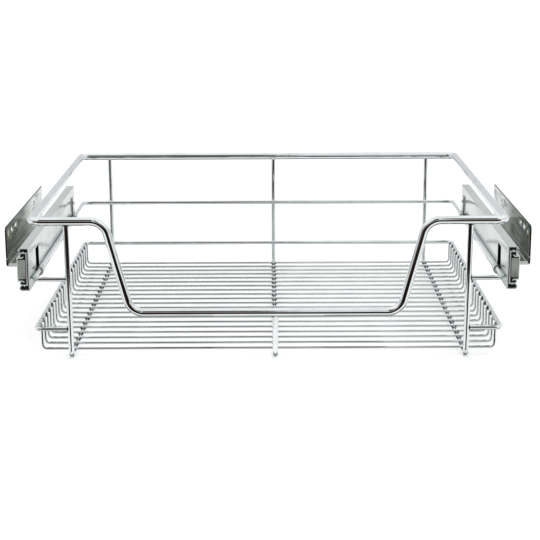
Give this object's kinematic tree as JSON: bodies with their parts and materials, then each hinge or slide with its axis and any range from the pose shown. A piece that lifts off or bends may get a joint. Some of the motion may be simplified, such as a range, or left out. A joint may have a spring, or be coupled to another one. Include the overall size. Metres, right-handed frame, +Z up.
{
  "type": "pull out cabinet basket",
  "caption": "Chrome wire basket that pulls out of a kitchen cabinet, with a dipped front bar as its handle, on full extension ball runners with folded side brackets.",
  "frame": {"origin": "middle of the overall box, at the underside of the three hoops that the basket stands on", "axes": "+X to the basket's right as seen from the front, +Y to the back of the cabinet, +Z up; the basket pulls out along -Y"},
  "size_m": [0.564, 0.4248, 0.154],
  "materials": {
    "chrome_wire": "polished",
    "runner_steel": "bright zinc",
    "bracket_steel": "bright zinc",
    "rivet_steel": "bright zinc",
    "cage_steel": "satin",
    "ball_steel": "polished",
    "grey_plastic": "matte",
    "black_plastic": "matte"
  },
  "bodies": {
    "cabinet_side": {"left_bracket": "bracket_steel", "left_cabinet_member": "runner_steel", "left_rivets": "rivet_steel", "left_front_stop": "grey_plastic", "left_rear_stop": "grey_plastic", "left_inner_race_plugs": "black_plastic", "right_bracket": "bracket_steel", "right_cabinet_member": "runner_steel", "right_rivets": "rivet_steel", "right_front_stop": "grey_plastic", "right_rear_stop": "grey_plastic", "right_inner_race_plugs": "black_plastic"},
    "basket": {"top_rim": "chrome_wire", "mid_rail": "chrome_wire", "lower_rail": "chrome_wire", "left_hoop": "chrome_wire", "centre_hoop": "chrome_wire", "right_hoop": "chrome_wire", "floor_wire_01": "chrome_wire", "floor_wire_02": "chrome_wire", "floor_wire_03": "chrome_wire", "floor_wire_04": "chrome_wire", "floor_wire_05": "chrome_wire", "floor_wire_06": "chrome_wire", "floor_wire_07": "chrome_wire", "floor_wire_08": "chrome_wire", "floor_wire_09": "chrome_wire", "floor_wire_10": "chrome_wire", "floor_wire_11": "chrome_wire", "floor_wire_12": "chrome_wire", "floor_wire_13": "chrome_wire", "floor_wire_14": "chrome_wire", "floor_wire_15": "chrome_wire", "floor_wire_16": "chrome_wire", "floor_wire_17": "chrome_wire", "floor_wire_18": "chrome_wire", "floor_wire_19": "chrome_wire", "floor_wire_20": "chrome_wire", "left_drawer_channel": "runner_steel", "right_drawer_channel": "runner_steel"},
    "left_middle": {"left_middle_member": "runner_steel", "left_outer_race_plugs": "black_plastic"},
    "left_outer_race": {"left_outer_cage": "cage_steel", "left_outer_balls": "ball_steel"},
    "left_inner_race": {"left_inner_cage": "cage_steel", "left_inner_balls": "ball_steel"},
    "right_middle": {"right_middle_member": "runner_steel", "right_outer_race_plugs": "black_plastic"},
    "right_outer_race": {"right_outer_cage": "cage_steel", "right_outer_balls": "ball_steel"},
    "right_inner_race": {"right_inner_cage": "cage_steel", "right_inner_balls": "ball_steel"}
  },
  "joints": [
    {"name": "basket_slide", "type": "slide", "parent": "cabinet_side", "child": "basket", "axis": [0, -1, 0], "range_m": [0, 0.35]},
    {"name": "left_middle_slide", "type": "slide", "parent": "cabinet_side", "child": "left_middle", "axis": [0, -1, 0], "range_m": [0, 0.175]},
    {"name": "left_outer_race_slide", "type": "slide", "parent": "cabinet_side", "child": "left_outer_race", "axis": [0, -1, 0], "range_m": [0, 0.2625]},
    {"name": "left_inner_race_slide", "type": "slide", "parent": "cabinet_side", "child": "left_inner_race", "axis": [0, -1, 0], "range_m": [0, 0.0875]},
    {"name": "right_middle_slide", "type": "slide", "parent": "cabinet_side", "child": "right_middle", "axis": [0, -1, 0], "range_m": [0, 0.175]},
    {"name": "right_outer_race_slide", "type": "slide", "parent": "cabinet_side", "child": "right_outer_race", "axis": [0, -1, 0], "range_m": [0, 0.2625]},
    {"name": "right_inner_race_slide", "type": "slide", "parent": "cabinet_side", "child": "right_inner_race", "axis": [0, -1, 0], "range_m": [0, 0.0875]}
  ],
  "couplings": [
    {"joint": "left_middle_slide", "follows": "basket_slide", "ratio": 0.5},
    {"joint": "left_outer_race_slide", "follows": "basket_slide", "ratio": 0.75},
    {"joint": "left_inner_race_slide", "follows": "basket_slide", "ratio": 0.25},
    {"joint": "right_middle_slide", "follows": "basket_slide", "ratio": 0.5},
    {"joint": "right_outer_race_slide", "follows": "basket_slide", "ratio": 0.75},
    {"joint": "right_inner_race_slide", "follows": "basket_slide", "ratio": 0.25}
  ]
}
